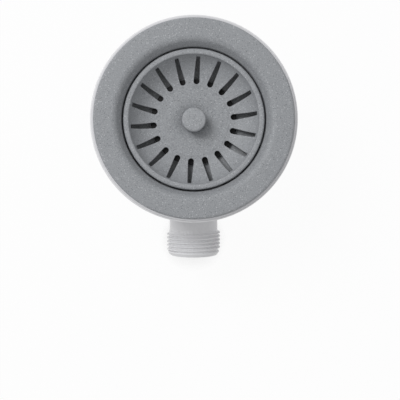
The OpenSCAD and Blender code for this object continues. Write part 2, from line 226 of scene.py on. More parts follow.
def add_thread(bm, low, high, first, turns, pitch, depth, plain, segments=144, place=None):
    """Adds a tube's outside with a right-hand thread, between two heights.

    plain(height) is the tube's radius without its thread. A crest passes the quarter
    turn at height first, and the thread fades in and out over a third of a turn.
    """
    rows = []
    for turn in range(-4, turns + 4):
        for share, form in THREAD_FORM:
            row = []
            for k in range(segments + 1):
                around = k / segments
                along = turn + around - 0.5
                z = min(max(first + pitch * (along + share), low), high)
                fade_in = min(max((along + 0.55) / 0.3, 0.0), 1.0)
                fade_out = min(max((turns - 0.45 - along) / 0.3, 0.0), 1.0)
                r = plain(z) + depth * form * fade_in * fade_out
                angle = 2 * math.pi * (around - 0.25)
                point = Vector((r * math.cos(angle), r * math.sin(angle), z))
                row.append(bm.verts.new(place(point) if place else point))
            rows.append(row)
    for lower, upper in zip(rows, rows[1:]):
        for k in range(segments):
            bm.faces.new((lower[k], lower[k + 1], upper[k + 1], upper[k]))


def thread_ring(r, z, segments):
    """A ring whose first point lies where a thread's rows begin."""
    ring = ring_at(max(r, 0.0), z, segments)
    start = segments * 3 // 4
    return ring[start:] + ring[:start]


def along_path(path):
    """A function that gives the radius of a path of rising heights at a height."""
    def radius(z):
        for low, high in zip(path, path[1:]):
            if z <= high[1]:
                share = (z - low[1]) / max(high[1] - low[1], 1e-9)
                return low[0] + min(max(share, 0.0), 1.0) * (high[0] - low[0])
        return path[-1][0]
    return radius


# Materials: two or more share each group, with their own values

def srgb(red, green, blue):
    """A colour from 0 to 255 as a screen shows it, for a shader."""
    linear = []
    for value in (red, green, blue):
        v = value / 255
        linear.append(v / 12.92 if v <= 0.04045 else ((v + 0.055) / 1.055) ** 2.4)
    return (*linear, 1.0)


def add_node(tree, kind, **values):
    """A node with its properties, and inputs by name where the value is a dict."""
    node = tree.nodes.new(kind)
    for key, value in values.items():
        if key == "inputs":
            for socket, setting in value.items():
                node.inputs[socket].default_value = setting
        else:
            setattr(node, key, value)
    return node


def new_group(name, inputs, outputs):
    """A shader node group with named inputs (name, type, value) and outputs."""
    group = bpy.data.node_groups.new(name, "ShaderNodeTree")
    for label, kind, value in inputs:
        socket = group.interface.new_socket(label, in_out="INPUT", socket_type=kind)
        socket.default_value = value
    for label, kind in outputs:
        group.interface.new_socket(label, in_out="OUTPUT", socket_type=kind)
    start = group.nodes.new("NodeGroupInput")
    end = group.nodes.new("NodeGroupOutput")
    return group, start, end


def math_node(tree, operation, first, second=None, third=None, clamp=False):
    """A Math node; each input is a socket or a number. Returns its output."""
    node = tree.nodes.new("ShaderNodeMath")
    node.operation = operation
    node.use_clamp = clamp
    for k, value in enumerate((first, second, third)):
        if value is None:
            continue
        if isinstance(value, (int, float)):
            node.inputs[k].default_value = value
        else:
            tree.links.new(value, node.inputs[k])
    return node.outputs[0]


def mixed(tree, factor, first, second, blend="MIX"):
    """A colour mix of sockets or colours. Returns its output."""
    node = tree.nodes.new("ShaderNodeMix")
    node.data_type = "RGBA"
    node.blend_type = blend
    node.clamp_factor = True
    for socket, value in ((node.inputs[0], factor), (node.inputs[6], first), (node.inputs[7], second)):
        if isinstance(value, (int, float, tuple)):
            socket.default_value = value
        else:
            tree.links.new(value, socket)
    return node.outputs[2]


def millimetres(tree):
    """The place on the piece, in millimetres."""
    place = tree.nodes.new("ShaderNodeTexCoord")
    scaled = tree.nodes.new("ShaderNodeVectorMath")
    scaled.operation = "SCALE"
    scaled.inputs["Scale"].default_value = 1 / MM
    tree.links.new(place.outputs["Object"], scaled.inputs[0])
    return scaled.outputs[0]


def noise(tree, vector, scale, detail=2.0, roughness=0.5):
    """Noise with a mean of a half; scale is a number or a socket."""
    node = tree.nodes.new("ShaderNodeTexNoise")
    node.inputs["Detail"].default_value = detail
    node.inputs["Roughness"].default_value = roughness
    tree.links.new(vector, node.inputs["Vector"])
    if isinstance(scale, (int, float)):
        node.inputs["Scale"].default_value = scale
    else:
        tree.links.new(scale, node.inputs["Scale"])
    return node.outputs["Fac"]


def make_stone_speckle():
    """Sprayed stone finish: fine salt and pepper grain with soft clouds."""
    group, start, end = new_group(
        "stone_speckle",
        (("Colour", "NodeSocketColor", (0.3, 0.3, 0.3, 1)),
         ("Light Grain", "NodeSocketColor", (0.6, 0.6, 0.6, 1)),
         ("Dark Grain", "NodeSocketColor", (0.1, 0.1, 0.1, 1)),
         ("Grain Strength", "NodeSocketFloat", 1.0),
         ("Clouds", "NodeSocketFloat", 0.05)),
        (("Colour", "NodeSocketColor"), ("Roughness", "NodeSocketFloat"),
         ("Height", "NodeSocketFloat")))
    where = millimetres(group)
    fine = noise(group, where, 1.6, 3.0, 0.65)
    cloud = noise(group, where, 0.09, 3.0, 0.55)
    cells = group.nodes.new("ShaderNodeTexVoronoi")
    cells.inputs["Scale"].default_value = 1.25
    group.links.new(where, cells.inputs["Vector"])
    pick = group.nodes.new("ShaderNodeSeparateColor")
    group.links.new(cells.outputs["Color"], pick.inputs[0])
    near = math_node(group, "LESS_THAN", cells.outputs["Distance"], 0.36)
    light = math_node(group, "GREATER_THAN", pick.outputs[0], 0.86)
    light = math_node(group, "MULTIPLY", light, near)
    dark = math_node(group, "LESS_THAN", pick.outputs[0], 0.14)
    dark = math_node(group, "MULTIPLY", dark, near)
    light = math_node(group, "MULTIPLY", light, start.outputs["Grain Strength"])
    dark = math_node(group, "MULTIPLY", dark, start.outputs["Grain Strength"])
    tone = math_node(group, "SUBTRACT", fine, 0.5)
    tone = math_node(group, "MULTIPLY", tone, start.outputs["Grain Strength"])
    tone = math_node(group, "MULTIPLY_ADD", tone, 1.3, 1.0)
    shade = math_node(group, "SUBTRACT", cloud, 0.5)
    shade = math_node(group, "MULTIPLY", shade, start.outputs["Clouds"])
    tone = math_node(group, "ADD", tone, shade)
    grained = group.nodes.new("ShaderNodeVectorMath")
    grained.operation = "SCALE"
    group.links.new(start.outputs["Colour"], grained.inputs[0])
    group.links.new(tone, grained.inputs["Scale"])
    colour = mixed(group, math_node(group, "MULTIPLY", light, 0.55), grained.outputs[0],
                   start.outputs["Light Grain"])
    colour = mixed(group, math_node(group, "MULTIPLY", dark, 0.5), colour,
                   start.outputs["Dark Grain"])
    rough = math_node(group, "MULTIPLY_ADD", fine, 0.25, 0.42, clamp=True)
    height = math_node(group, "MULTIPLY_ADD", light, 0.6, fine)
    group.links.new(colour, end.inputs["Colour"])
    group.links.new(rough, end.inputs["Roughness"])
    group.links.new(height, end.inputs["Height"])
    return group


def make_moulded_skin():
    """The skin of moulded plastic or rubber: faint clouds of tone and a fine grain."""
    group, start, end = new_group(
        "moulded_skin",
        (("Colour", "NodeSocketColor", (0.7, 0.7, 0.7, 1)),
         ("Tone Change", "NodeSocketFloat", 0.05),
         ("Roughness", "NodeSocketFloat", 0.4),
         ("Grain Size", "NodeSocketFloat", 0.4)),
        (("Colour", "NodeSocketColor"), ("Roughness", "NodeSocketFloat"),
         ("Height", "NodeSocketFloat")))
    where = millimetres(group)
    per_grain = math_node(group, "DIVIDE", 1.0, start.outputs["Grain Size"])
    grain = noise(group, where, per_grain, 2.0, 0.6)
    flow = noise(group, where, 0.07, 3.0, 0.5)
    tone = math_node(group, "SUBTRACT", flow, 0.5)
    tone = math_node(group, "MULTIPLY_ADD", tone, start.outputs["Tone Change"], 1.0)
    toned = group.nodes.new("ShaderNodeVectorMath")
    toned.operation = "SCALE"
    group.links.new(start.outputs["Colour"], toned.inputs[0])
    group.links.new(tone, toned.inputs["Scale"])
    rough = math_node(group, "SUBTRACT", grain, 0.5)
    rough = math_node(group, "MULTIPLY_ADD", rough, 0.2, start.outputs["Roughness"], clamp=True)
    group.links.new(toned.outputs[0], end.inputs["Colour"])
    group.links.new(rough, end.inputs["Roughness"])
    group.links.new(grain, end.inputs["Height"])
    return group


def make_turned_marks():
    """Fine tool marks that run round the axis of a turned metal piece."""
    group, start, end = new_group(
        "turned_marks",
        (("Colour", "NodeSocketColor", (0.6, 0.6, 0.6, 1)),
         ("Roughness", "NodeSocketFloat", 0.3),
         ("Mark Spacing", "NodeSocketFloat", 0.25)),
        (("Colour", "NodeSocketColor"), ("Roughness", "NodeSocketFloat"),
         ("Height", "NodeSocketFloat")))
    where = millimetres(group)
    parts = group.nodes.new("ShaderNodeSeparateXYZ")
    group.links.new(where, parts.inputs[0])
    squares = math_node(group, "MULTIPLY", parts.outputs[0], parts.outputs[0])
    squares = math_node(group, "MULTIPLY_ADD", parts.outputs[1], parts.outputs[1], squares)
    radius = math_node(group, "SQRT", squares)
    line = group.nodes.new("ShaderNodeCombineXYZ")
    group.links.new(radius, line.inputs[0])
    group.links.new(parts.outputs[2], line.inputs[1])
    per_mark = math_node(group, "DIVIDE", 1.0, start.outputs["Mark Spacing"])
    marks = noise(group, line.outputs[0], per_mark, 2.0, 0.7)
    smear = noise(group, where, 0.3, 2.0, 0.5)
    rough = math_node(group, "MULTIPLY_ADD", marks, 0.16, start.outputs["Roughness"])
    rough = math_node(group, "MULTIPLY_ADD", smear, 0.12, rough, clamp=True)
    tone = math_node(group, "MULTIPLY_ADD", marks, 0.14, 0.9)
    toned = group.nodes.new("ShaderNodeVectorMath")
    toned.operation = "SCALE"
    group.links.new(start.outputs["Colour"], toned.inputs[0])
    group.links.new(tone, toned.inputs["Scale"])
    group.links.new(toned.outputs[0], end.inputs["Colour"])
    group.links.new(rough, end.inputs["Roughness"])
    group.links.new(marks, end.inputs["Height"])
    return group


GROUPS = {
    "stone_speckle": make_stone_speckle(),
    "moulded_skin": make_moulded_skin(),
    "turned_marks": make_turned_marks(),
}


def new_material(name, group_name, settings, bump, specular=0.5, metallic=0.0):
    """A material whose colour, roughness and grain come from one of the groups."""
    material = bpy.data.materials.new(name)
    material.use_nodes = True
    tree = material.node_tree
    shader = tree.nodes["Principled BSDF"]
    shader.inputs["Metallic"].default_value = metallic
    shader.inputs["Specular IOR Level"].default_value = specular
    finish = tree.nodes.new("ShaderNodeGroup")
    finish.node_tree = GROUPS[group_name]
    for socket, value in settings.items():
        finish.inputs[socket].default_value = value
    grain = tree.nodes.new("ShaderNodeBump")
    grain.inputs["Strength"].default_value = bump
    grain.inputs["Distance"].default_value = 0.05 * MM
    tree.links.new(finish.outputs["Height"], grain.inputs["Height"])
    tree.links.new(finish.outputs["Colour"], shader.inputs["Base Color"])
    tree.links.new(finish.outputs["Roughness"], shader.inputs["Roughness"])
    tree.links.new(grain.outputs["Normal"], shader.inputs["Normal"])
    return material


stone_coat = new_material(
    "stone_coat", "stone_speckle",
    {"Colour": srgb(148, 150.5, 154), "Light Grain": srgb(205, 207, 210),
     "Dark Grain": srgb(78, 81, 85), "Grain Strength": 1.0, "Clouds": 0.1},
    bump=0.5, specular=0.3)
stone_plastic = new_material(
    "stone_plastic", "stone_speckle",
    {"Colour": srgb(152, 154.5, 158), "Light Grain": srgb(208, 210, 213),
     "Dark Grain": srgb(80, 83, 87), "Grain Strength": 1.0, "Clouds": 0.1},
    bump=0.45, specular=0.35)
white_plastic = new_material(
    "white_plastic", "moulded_skin",
    {"Colour": srgb(224, 224, 226), "Tone Change": 0.05, "Roughness": 0.36, "Grain Size": 0.35},
    bump=0.25, specular=0.45)
white_seal = new_material(
    "white_seal", "moulded_skin",
    {"Colour": srgb(212, 212, 215), "Tone Change": 0.06, "Roughness": 0.55, "Grain Size": 0.5},
    bump=0.3, specular=0.35)
white_washer = new_material(
    "white_washer", "moulded_skin",
    {"Colour": srgb(226, 226, 224), "Tone Change": 0.04, "Roughness": 0.45, "Grain Size": 0.3},
    bump=0.2)
black_rubber = new_material(
    "black_rubber", "moulded_skin",
    {"Colour": srgb(22, 22, 23), "Tone Change": 0.3, "Roughness": 0.62, "Grain Size": 0.25},
    bump=0.4, specular=0.3)
stainless = new_material(
    "stainless", "turned_marks",
    {"Colour": srgb(196, 197, 200), "Roughness": 0.2, "Mark Spacing": 0.16},
    bump=0.15, metallic=1.0)
brass = new_material(
    "brass", "turned_marks",
    {"Colour": srgb(206, 172, 104), "Roughness": 0.24, "Mark Spacing": 0.2},
    bump=0.15, metallic=1.0)

# Heights and radii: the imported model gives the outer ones, the rest are the maker's own

flange_high = node_box("strainer_flange")[1]
seal_low, seal_high = node_box("flange_seal")
groove_low, groove_high = node_box("body_seal")
basket_high = node_box("strainer_basket")[1]
knob_high = node_box("basket_knob")[1]
stopper_low, stopper_high = node_box("stopper_seal")
screw_low, screw_high = node_box("fixing_screw")
nut_low, nut_high = node_box("stem_nut")

# Flange and bowl, one sheet with an even coat
top_z = flange_high.z
flange_r = flange_high.x
sheet_t = 1.2
edge_drop = 2.0
lip_r = 4.3
bowl_r = 41.5
entry_lean = math.radians(25)
entry_depth = 6.5
lip_corner_r = bowl_r + entry_depth * math.tan(entry_lean)
land_r = lip_corner_r + lip_r * math.tan((math.pi / 2 - entry_lean) / 2)
seat_z = top_z - 24.3
drain_r = 22.5
seat_r = drain_r + 3.5
hub_r = 10.5
hub_z = seat_z - 10
screw_hole_r = 5.3
bowl_floor_r = bowl_r - 1
bowl_floor_z = seat_z + (bowl_floor_r - seat_r) * math.tan(math.radians(14))

flange_path = rounded([
    (flange_r, top_z - edge_drop, 0),
    (flange_r, top_z, 1.35),
    (lip_corner_r, top_z, lip_r),
    (bowl_r, top_z - entry_depth, sheet_t + 1),
    (bowl_floor_r, bowl_floor_z, 7),
    (seat_r, seat_z, sheet_t),
    (drain_r, seat_z, sheet_t + 0.6),
    (hub_r, hub_z, sheet_t),
    (screw_hole_r, hub_z, 0)], steps=10)
flange = turned("flange_and_bowl", flange_path + beside(flange_path, sheet_t)[::-1],
                stone_coat, 216)


def window_plan():
    """Plan of one opening between two arms of the cross, with round corners."""
    corners = []
    for r, count, way in ((drain_r - 1.4, 16, 1), (hub_r + 1.4, 12, -1)):
        reach = math.radians(45) - math.asin(3.0 / r)
        for k in range(count + 1):
            angle = way * (2 * k / count - 1) * reach
            rounding = 1.1 if k in (0, count) else 0
            corners.append((r * math.cos(angle), r * math.sin(angle), rounding))
    return rounded(corners, 4, closed=True)


windows = bmesh.new()
for arm in range(4):
    add_prism(windows, window_plan(), hub_z - 3, seat_z + 3, math.pi / 2 * arm)
cut_away(flange, windows)

# Seal under the flange: its soft outer edge passes under the flange's turned-down edge
step_r = flange_r - sheet_t - 0.15
flange_seal = turned("flange_seal_ring", rounded([
    (land_r + 0.1, seal_low.z, 0),
    (seal_high.x, seal_low.z, 0.25),
    (seal_high.x, top_z - edge_drop, 0.45),
    (step_r, top_z - edge_drop, 0),
    (step_r, seal_high.z, 0),
    (land_r + 0.1, seal_high.z, 0)], 5, closed=True), white_seal, 216)

# Seal in the body's rim, with two raised lips for the sink's underside
body_seal_in = 48.6
body_seal_out = groove_high.x
lips_down = groove_high.z - 0.7
body_seal = turned("body_seal_ring", rounded([
    (body_seal_in, groove_low.z, 0.2),
    (body_seal_out, groove_low.z, 0.2),
    (body_seal_out, groove_high.z, 0.3),
    (body_seal_out - 2.6, groove_high.z, 0.3),
    (body_seal_out - 3.2, lips_down, 0.3),
    (body_seal_in + 3.2, lips_down, 0.3),
    (body_seal_in + 2.6, groove_high.z, 0.3),
    (body_seal_in, groove_high.z, 0.3)], 4, closed=True), white_seal, 144)

# Moulded body: rim and bell
rim_r = seal_high.x + 0.95
rim_top = groove_low.z + 2.2
rim_under = rim_top - 5
groove_in = body_seal_in - 0.1
groove_out = body_seal_out + 0.1
wall = 2.8
draft = math.radians(5)
bell_r = 50.0
outlet_len = 20.0
outlet_root = 22.421
outlet_bore = 19.5
neck_z = outlet_len - 3
thread_pitch = 2.309
thread_depth = 1.479


def bell_at(z, inset=0.0):
    """The bell's radius at a height, measured outside or inset into its wall."""
    return bell_r - (rim_under - z) * math.tan(draft) - inset / math.cos(draft)


bell_floor_z = outlet_len + (bell_at(outlet_len) - outlet_root) * math.tan(math.radians(16))
bell_path = rounded([
    (bell_at(rim_under - 3), rim_under - 3, 0),
    (bell_at(bell_floor_z), bell_floor_z, 10),
    (outlet_root, outlet_len, 2),
    (outlet_root, neck_z, 0)], 8)
bell_inside = [p for p in beside(bell_path, -wall) if p.y > neck_z and p.x > outlet_bore]
rim_path = rounded([
    (groove_in - 1.3, rim_under - 2, 0),
    (groove_in - 1.3, rim_top, 0.25),
    (groove_in, rim_top, 0.25),
    (groove_in, groove_low.z, 0),
    (groove_out, groove_low.z, 0),
    (groove_out, rim_top, 0.3),
    (rim_r, rim_top, 0.45),
    (rim_r, rim_under, 0.6),
    (bell_at(rim_under), rim_under, 1.0),
    (bell_at(rim_under - 3), rim_under - 3, 0)], 4)
bell = turned("moulded_bell", rim_path + bell_path[1:] + [Vector((outlet_bore, neck_z))]
              + bell_inside[::-1], white_plastic, 216)

# Overflow port: square on the bell's drafted wall, pointing to -Y
port_len = 34.0
port_neck = 14.9
port_root = 15.146
port_collar = 17.9
port_bore = 12.3
parting_line = 0.12
port_z = rim_top - 47.4
port_foot = Vector((0, -bell_at(port_z), port_z))
port_along = Vector((0, -math.cos(draft), -math.sin(draft)))
port_up = Vector((0, -math.sin(draft), math.cos(draft)))
port_side = Vector((1, 0, 0))
PORT_SEGMENTS = 144


def on_port(point):
    """A point of the upright port, moved to its place on the bell.

    The halves of the mould left a raised line along the port's top.
    """
    up = point.y
    if abs(point.x) < 1e-6 and up > port_bore + 1:
        up += parting_line
    return port_foot + point.x * port_side + up * port_up + point.z * port_along


def port_ring(r, z=None, inset=0.0):
    """A ring of the port at a height, or where it meets the bell's wall at an inset."""
    ring = []
    for k in range(PORT_SEGMENTS):
        angle = 2 * math.pi * (k / PORT_SEGMENTS - 0.25)
        low = -12.0
        high = 6.0
        while z is None and high - low > 1e-5:
            middle = (low + high) / 2
            point = on_port(Vector((r * math.cos(angle), r * math.sin(angle), middle)))
            if math.hypot(point.x, point.y) > bell_at(point.z, inset):
                high = middle
            else:
                low = middle
        ring.append(Vector((r * math.cos(angle), r * math.sin(angle), high if z is None else z)))
    return ring


hole = bmesh.new()
add_turned(hole, [(0, -12), (port_bore + 0.6, -12), (port_bore + 0.6, 4), (0, 4)], 72, on_port)
cut_away(bell, hole)

thread_from = 17.2
thread_to = 33.2
port_tube = along_path([(port_neck, 17.2), (port_neck, 18.2), (port_root, 18.9), (port_root, 31.1),
                        (15.95, 31.6), (16.0, 32.2), (15.25, 33.2)])
collar = rounded([(port_collar, -3, 0), (port_collar, 1.5, 0.8), (port_neck, 1.5, 2.5),
                  (port_neck, thread_from, 0)], 8)
nose = rounded([(15.25, thread_to, 0), (14.7, port_len, 0.4), (port_bore + 0.8, port_len, 0.3),
                (port_bore, port_len - 0.8, 0)], 4)
port_bm = bmesh.new()
wall_ring = port_ring(port_collar, inset=wall * 0.6)
add_rings(port_bm, [wall_ring] + [port_ring(p.x, p.y) for p in collar[1:]], on_port, False)
add_thread(port_bm, thread_from, thread_to, 20.564, 5, thread_pitch, thread_depth, port_tube,
           PORT_SEGMENTS, on_port)
add_rings(port_bm, [port_ring(p.x, p.y) for p in nose]
          + [port_ring(port_bore, inset=wall + 0.05), port_ring(port_bore + 1.2, inset=wall + 0.05),
             port_ring(port_bore + 1.5, inset=wall * 0.6), wall_ring], on_port, False)
port = finished("overflow_port", port_bm, white_plastic)


def fillet_points(angle, r, fillet, steps):
    """An arc that rolls from the port's collar on to the bell, at one angle."""
    out = Vector((math.cos(angle), math.sin(angle), 0))
    low = -12.0
    high = 12.0
    while high - low > 1e-5:
        middle = (low + high) / 2
        point = on_port(out * (r + fillet) + Vector((0, 0, middle)))
        if math.hypot(point.x, point.y) > bell_at(point.z, -fillet):
            high = middle
        else:
            low = middle
    centre = on_port(out * (r + fillet) + Vector((0, 0, high)))
    across = on_port(out) - port_foot
    flat = Vector((centre.x, centre.y, 0)).normalized()
    square = flat * math.cos(draft) - Vector((0, 0, math.sin(draft)))
    points = []
    for k in range(steps + 1):
        way = -across.slerp(square, k / steps)
        points.append(centre + way.normalized() * fillet)
    return points


fillet_bm = bmesh.new()
strips = [fillet_points(2 * math.pi * k / 144, port_collar, 1.6, 6) for k in range(144)]
add_rings(fillet_bm, [list(ring) for ring in zip(*strips)], None, False)
port_fillet = finished("port_fillet", fillet_bm, white_plastic)

# Outlet with its trap thread
outlet_bm = bmesh.new()
outlet_tube = along_path([(outlet_root - 0.35, 0.5), (outlet_root, 1.0), (outlet_root, 90)])
add_thread(outlet_bm, 0.5, neck_z, 3.6, 6, thread_pitch, thread_depth, outlet_tube, 144)
mouth = rounded([(outlet_root - 0.35, 0.5, 0), (outlet_root - 0.8, 0, 0), (outlet_bore + 0.6, 0, 0.2),
                 (outlet_bore, 0.6, 0), (outlet_bore, neck_z, 0), (outlet_root, neck_z, 0)], 3)
add_rings(outlet_bm, [thread_ring(p.x, p.y, 144) for p in mouth], None, False)
outlet = finished("outlet_tail", outlet_bm, white_plastic)

# Gussets under the rim, ribs across the bell and the hub that they carry
hub_top = 56.5
fins = bmesh.new()
for k in range(12):
    foot_z = rim_under - 16
    add_fin(fins, [(bell_at(rim_under, wall / 2), rim_under + 0.4), (rim_r - 2, rim_under + 0.4),
                   (rim_r - 2, rim_under - 1.5), (bell_at(foot_z, -0.2), foot_z),
                   (bell_at(foot_z, wall / 2), foot_z)], 2.0, math.radians(15 + 30 * k))
gussets = finished("rim_gussets", fins, white_plastic)
fins = bmesh.new()
for k in range(4):
    add_fin(fins, [(7, hub_top - 15), (bell_at(hub_top - 15, wall / 2), hub_top - 15),
                   (bell_at(hub_top - 3, wall / 2), hub_top - 3), (7, hub_top - 3)],
            2.6, math.radians(45 + 90 * k), 0.4)
add_turned(fins, rounded([(5.5, hub_top - 18, 0.3), (8.5, hub_top - 18, 0.5), (8.5, hub_top, 0.5),
                          (6.5, hub_top, 0.2), (6.5, hub_top - 13, 0), (5.5, hub_top - 13, 0)],
                         4, closed=True), 72)
ribs = finished("hub_and_ribs", fins, white_plastic)

# Fixing screw: slotted pan head, a blind socket for the stem and a threaded shank
head_low = hub_z + 1
head_top = screw_high.z
screw_r = 5.0
shank_r = screw_r - 0.76
screw_pitch = 1.5
screw_thread_depth = 0.75
socket_r = 3.1
screw_bm = bmesh.new()
add_thread(screw_bm, screw_low.z + 1, head_low - 2.2, screw_low.z + 1.2, 9, screw_pitch,
           screw_thread_depth, along_path([(shank_r, 0), (shank_r, 90)]), 72)
shank = rounded([
    (0, screw_low.z, 0), (screw_r - 1.2, screw_low.z, 0), (shank_r, screw_low.z + 1, 0)], 2)
upper = rounded([
    (shank_r, head_low - 2.2, 0), (screw_r - 0.05, head_low - 1.6, 0),
    (screw_r - 0.05, head_low, 0), (screw_high.x, head_low, 0.3), (screw_high.x, head_top, 1.3),
    (socket_r + 0.4, head_top, 0), (socket_r, head_top - 0.4, 0), (socket_r, head_top - 15, 0),
    (0, head_top - 16.5, 0)], 5)
add_rings(screw_bm, [thread_ring(p.x, p.y, 72) for p in shank], None, False)
add_rings(screw_bm, [thread_ring(p.x, p.y, 72) for p in upper], None, False)
screw = finished("fixing_screw_turned", screw_bm, stainless)
slot_bm = bmesh.new()
add_prism(slot_bm, [(-20, -1.2), (20, -1.2), (20, 1.2), (-20, 1.2)], head_top - 1.8, head_top + 2)
cut_away(screw, slot_bm)

# Stopper: a rubber disc with a bevelled lip and a raised ring round its middle
stem_r = 3.0
stopper_r = stopper_high.x
stopper = turned("stopper_disc", rounded([
    (stem_r + 0.1, stopper_low.z, 0),
    (stopper_r - 8, stopper_low.z, 0.3),
    (stopper_r - 7.4, stopper_low.z + 0.4, 0.3),
    (stopper_r - 4.4, stopper_low.z + 0.4, 0.3),
    (stopper_r - 3.8, stopper_low.z, 0.3),
    (stopper_r - 1.2, stopper_low.z, 0.6),
    (stopper_r, stopper_high.z - 1.0, 0.2),
    (stopper_r, stopper_high.z, 0.4),
    (stem_r + 0.1, stopper_high.z, 0)], 4, closed=True), black_rubber, 144)


def hex_nut(name, flats, low, high, bore, material):
    """A hexagon nut whose corners are chamfered, with a countersunk bore."""
    bm = bmesh.new()
    steps = 12
    corner_r = flats / 2 / math.cos(math.pi / 6)
    rows = []
    for z, cone in ((low, corner_r - 0.75), (low + 0.2, corner_r - 0.35), (low + 0.42, corner_r),
                    (high - 0.42, corner_r), (high - 0.2, corner_r - 0.35),
                    (high, corner_r - 0.75)):
        row = []
        for k in range(6 * steps):
            angle = 2 * math.pi * k / (6 * steps)
            within = (angle + math.pi / 6) % (math.pi / 3) - math.pi / 6
            hexagon = flats / 2 / math.cos(math.pi / 6 - abs(within))
            r = min(hexagon, cone)
            row.append(Vector((r * math.cos(angle), r * math.sin(angle), z)))
        rows.append(row)
    rows.append(ring_at(bore + 0.4, high, 6 * steps))
    rows.append(ring_at(bore, high - 0.4, 6 * steps))
    rows.append(ring_at(bore, low + 0.4, 6 * steps))
    rows.append(ring_at(bore + 0.4, low, 6 * steps))
    add_rings(bm, rows)
    return finished(name, bm, material, 25)


stem_nut = hex_nut("chamfered_nut", 10.0, nut_low.z, nut_high.z, stem_r + 0.05, stainless)

# Basket: a dish with a ring of tapered slots, made one twenty-degree sector at a time
rim_out_r = basket_high.x
rim_z = basket_high.z
basket_t = 1.8
floor_z = rim_z - 13
floor_r = 22.1
rim_in_r = rim_out_r - 3.2
face_foot_z = rim_z - 1.8
rise = face_foot_z - floor_z
dish_lean = 2 * math.atan(rise / (rim_in_r - floor_r))
dish_r = (rim_in_r - floor_r) / math.sin(dish_lean)
slot_count = 18
slot_start = math.radians(6)
slot_in = 1.67
slot_out = 1.1
slot_from = floor_r + slot_in - 0.25
slot_to = rim_in_r - 0.65
slot_corner = 0.35
slot_edge = 0.35
corner_at = Vector((slot_to - slot_corner, slot_out - slot_corner))
slot_reach = corner_at - Vector((slot_from, 0))
slot_slope = (math.asin((slot_in - slot_corner) / slot_reach.length)
              - math.atan2(slot_reach.y, slot_reach.x))


def dish_z(r, under=0.0):
    """Height of the dish's top, or of a surface under it, at a radius."""
    curve = dish_r + under
    out = min(max(r - floor_r, 0.0), curve * math.sin(dish_lean))
    return floor_z + dish_r - math.sqrt(curve * curve - out * out)


def slot_loop(grown):
    """Outline of a slot that points along +X, grown outwards by some millimetres."""
    points = []
    for k in range(17):
        angle = math.pi / 2 - slot_slope + k / 16 * (math.pi + 2 * slot_slope)
        points.append(Vector((slot_from, 0))
                      + (slot_in + grown) * Vector((math.cos(angle), math.sin(angle))))
    for side in (-1, 1):
        for k in range(6):
            share = k / 5 if side > 0 else 1 - k / 5
            angle = side * share * (math.pi / 2 - slot_slope)
            points.append(Vector((corner_at.x, side * corner_at.y))
                          + (slot_corner + grown) * Vector((math.cos(angle), math.sin(angle))))
    loop = []
    for k, point in enumerate(points):
        following = points[(k + 1) % len(points)]
        loop.append(point)
        pieces = int((following - point).length / 0.9)
        for j in range(1, pieces + 1):
            loop.append(point.lerp(following, j / (pieces + 1)))
    return loop


def from_slot(x, y):
    """Distance outside a slot that points along +X, and the way out of it."""
    across = abs(y)
    along = x - slot_from
    side = Vector((math.sin(slot_slope), math.cos(slot_slope)))
    lengthways = along * side.y - across * side.x
    if lengthways < 0:
        way = Vector((along, across))
        far = way.length - slot_in
    elif lengthways < slot_reach.x * side.y - slot_reach.y * side.x:
        way = side
        far = along * side.x + across * side.y - slot_in
    elif across > slot_reach.y:
        way = Vector((along, across)) - slot_reach
        far = way.length - slot_corner
    else:
        way = Vector((1, 0))
        far = x - slot_to
    way = way.normalized()
    return far, Vector((way.x, way.y if y >= 0 else -way.y))


def edge_drop_at(far):
    """How far the rounded edge of a slot lies below the dish."""
    if far >= slot_edge:
        return 0.0
    short = slot_edge - max(far, 0.0)
    return slot_edge - math.sqrt(max(slot_edge * slot_edge - short * short, 0.0))


PER_SECTOR = 12
plan_in = 20.6
boss_r = 10.0
floor_middle_r = 14.0
under_edge_r = 38.63


def sector_plan():
    """Plan points and triangles of one sector, and its slot loop."""
    half = math.pi / slot_count
    radii = [plan_in, 21.2, 21.7]
    leans = 15
    for k in range(leans + 1):
        radii.append(floor_r + dish_r * math.sin(dish_lean * k / leans))
    points = []
    edges = []

    def add_loop(loop):
        start = len(points)
        points.extend(loop)
        for k in range(len(loop)):
            edges.append((start + k, start + (k + 1) % len(loop)))

    border = []
    for k in range(PER_SECTOR + 1):
        angle = -half + 2 * half * k / PER_SECTOR
        border.append(Vector((plan_in * math.cos(angle), plan_in * math.sin(angle))))
    for r in radii[1:-1]:
        border.append(Vector((r * math.cos(half), r * math.sin(half))))
    for k in range(PER_SECTOR + 1):
        angle = half - 2 * half * k / PER_SECTOR
        border.append(Vector((rim_in_r * math.cos(angle), rim_in_r * math.sin(angle))))
    for r in radii[-2:0:-1]:
        border.append(Vector((r * math.cos(-half), r * math.sin(-half))))
    add_loop(border)
    loops = []
    for grown in (0.0, 0.03, 0.1, 0.2, slot_edge, 0.45):
        loops.append(slot_loop(grown))
        add_loop(loops[-1])
    for r in radii[1:-1]:
        for k in range(1, PER_SECTOR):
            angle = -half + 2 * half * k / PER_SECTOR
            point = Vector((r * math.cos(angle), r * math.sin(angle)))
            if from_slot(point.x, point.y)[0] > 0.8:
                points.append(point)
    made = delaunay_2d_cdt(points, edges, [], 0, 1e-6)
    triangles = []
    for face in made[2]:
        corners = [made[0][k] for k in face]
        middle = sum(corners, Vector((0, 0))) / len(corners)
        angle = abs(math.atan2(middle.y, middle.x))
        if from_slot(middle.x, middle.y)[0] > 0 and angle < half and middle.length > plan_in * 0.99:
            triangles.append(corners)
    return triangles, loops[0]


